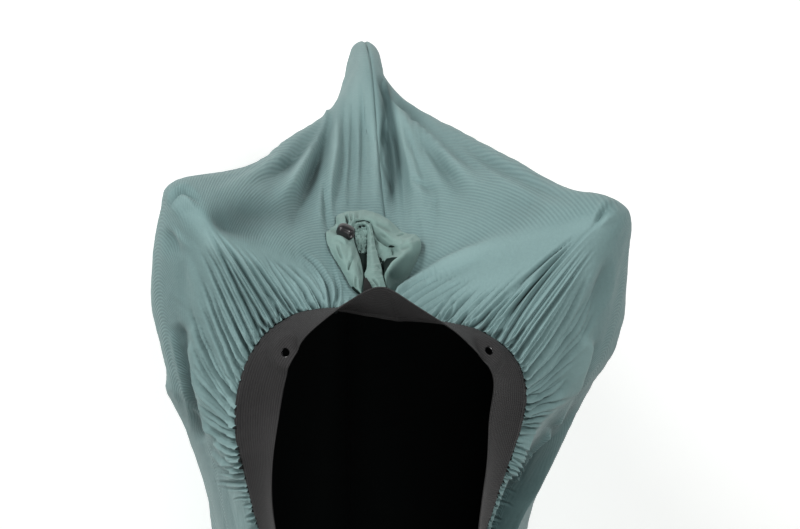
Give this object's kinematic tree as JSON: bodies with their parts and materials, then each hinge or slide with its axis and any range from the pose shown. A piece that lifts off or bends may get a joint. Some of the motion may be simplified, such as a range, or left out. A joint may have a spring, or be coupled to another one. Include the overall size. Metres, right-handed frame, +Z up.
{
  "type": "bicycle cover",
  "caption": "Full-length stretch-knit bicycle cover, taut over handlebar and wheels, with a wide ribbed elastic round its top opening, black eyelets and a storage pouch at the front.",
  "frame": {"origin": "middle of the handlebar clamp the cover rests on, under its top opening", "axes": "+Y towards the front wheel, +Z up, +X to the rider's right"},
  "size_m": [0.4959, 1.6754, 0.9763],
  "materials": {
    "knit": "fine-ribbed stretch knit with a slight sheen",
    "elastic": "woven ribbed elastic, matt",
    "black_metal": "black lacquered metal, satin",
    "pouch_cloth": "smooth light woven cloth",
    "black_plastic": "moulded, glossy",
    "black_webbing": "woven tape"
  },
  "bodies": {
    "root": {"panel_left": "knit", "panel_right": "knit", "elastic_band": "elastic", "eyelet_left": "black_metal", "eyelet_right": "black_metal", "pouch": "pouch_cloth", "pouch_casing": "pouch_cloth", "cord_lock": "black_plastic", "pouch_tab": "black_webbing"}
  },
  "joints": []
}
